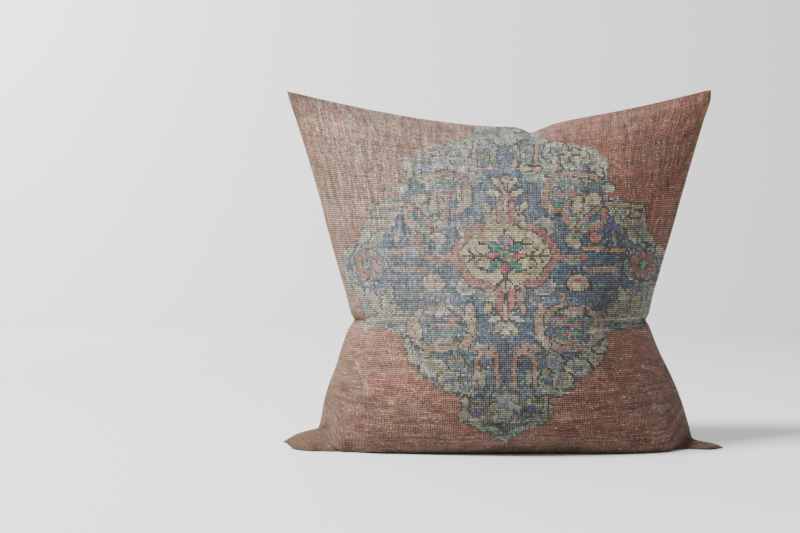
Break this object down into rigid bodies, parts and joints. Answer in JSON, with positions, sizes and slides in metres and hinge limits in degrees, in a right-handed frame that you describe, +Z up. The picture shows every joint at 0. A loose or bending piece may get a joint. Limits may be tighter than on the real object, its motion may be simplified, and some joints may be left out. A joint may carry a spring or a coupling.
{
  "type": "throw pillow",
  "caption": "Square throw pillow with a rug-cloth front, a canvas back that opens on a zip with a running slider, and a filled insert.",
  "frame": {"origin": "on the surface that the pillow stands on, at the middle of its footprint box", "axes": "+Z up; the rug front faces -Y; +X to the right of someone who faces the front"},
  "size_m": [0.495, 0.2348, 0.4136],
  "materials": {
    "rug": "worn hand-knotted wool rug cloth",
    "canvas": "plain cotton canvas",
    "casing": "undyed cotton",
    "filling": "polyester fibre fill",
    "thread": "polyester sewing thread",
    "label": "blank woven satin",
    "zip_tape": "woven polyester tape",
    "zip_coil": "moulded nylon monofilament",
    "zip_metal": "antique brass plate on zinc"
  },
  "bodies": {
    "cover": {"front_panel": "rug", "back_panel_upper": "canvas", "back_panel_lower": "canvas", "insert_casing_front": "casing", "insert_casing_back": "casing", "insert_fill": "filling", "perimeter_seam_thread": "thread", "care_label": "label", "zipper_tape_upper": "zip_tape", "zipper_tape_lower": "zip_tape", "zipper_coil_upper": "zip_coil", "zipper_coil_lower": "zip_coil", "zipper_stitching_upper": "thread", "zipper_stitching_lower": "thread", "zipper_bar_tack_closed_end": "thread", "zipper_bar_tack_open_end": "thread", "zipper_top_stop_upper": "zip_metal", "zipper_top_stop_lower": "zip_metal", "zipper_bottom_stop": "zip_metal"},
    "slider": {"zipper_slider": "zip_metal"},
    "pull": {"zipper_pull": "zip_metal"}
  },
  "joints": [
    {"name": "zip_slide", "type": "hinge", "parent": "cover", "child": "slider", "pos_m": [0, -0.10231, 0.105], "axis": [0, 0, -1], "range_deg": [0, 76.72], "deforming": ["zipper_coil_upper", "zipper_coil_lower"]},
    {"name": "pull_hinge", "type": "hinge", "parent": "slider", "child": "pull", "pos_m": [-0.13483, 0.06805, 0.105], "axis": [0, 0, 1], "range_deg": [0, 165]}
  ]
}
